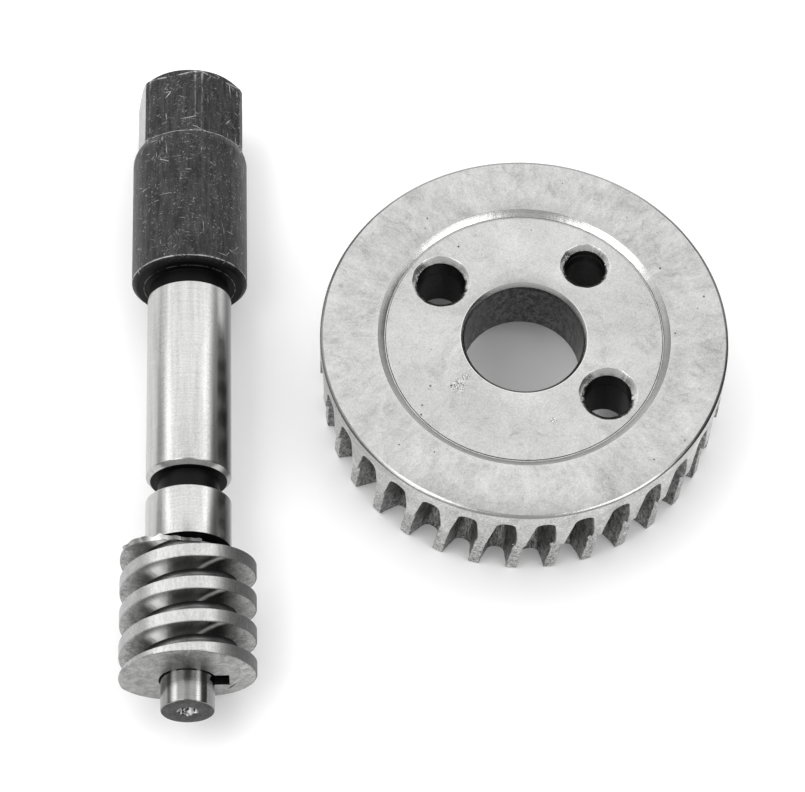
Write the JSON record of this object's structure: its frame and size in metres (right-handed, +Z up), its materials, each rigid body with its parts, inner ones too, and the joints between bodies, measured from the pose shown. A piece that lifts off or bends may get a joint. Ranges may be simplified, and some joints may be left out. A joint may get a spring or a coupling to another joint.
{
  "type": "worm gear set",
  "caption": "Worm gear set: a toothed worm wheel with a plain bore and bolt holes, and a right-hand worm keyed on a stepped shaft with a hexagonal drive end.",
  "frame": {"origin": "centre of the overall box, on the bench surface that the wheel and the shaft lie on", "axes": "+Z up from the bench and along the wheel's axis; +Y along the shaft from its stub end to its hexagon; +X from the shaft towards the wheel"},
  "size_m": [0.1134, 0.1326, 0.0254],
  "materials": {
    "wheel_steel": "turned and ground face, satin, with dark hobbed tooth gaps",
    "shaft_steel": "ground bright journals and stub, blackened and scratched collar and hexagon",
    "key_steel": "drawn key stock, satin",
    "worm_steel": "machined, oiled grey, shiny in the thread root"
  },
  "bodies": {
    "worm_wheel": {"worm_wheel": "wheel_steel"},
    "worm_shaft": {"worm_shaft": "shaft_steel", "worm_key": "key_steel"},
    "worm": {"worm": "worm_steel"}
  },
  "joints": [
    {"name": "shaft_turn", "type": "hinge", "parent": "worm_wheel", "child": "worm_shaft", "pos_m": [-0.0442, -0.0662, 0.01303], "axis": [0, 0.9998, -0.0174], "continuous": true},
    {"name": "worm_slide", "type": "slide", "parent": "worm_shaft", "child": "worm", "axis": [0, -0.9998, 0.0174], "range_m": [0, 0.0304]}
  ]
}
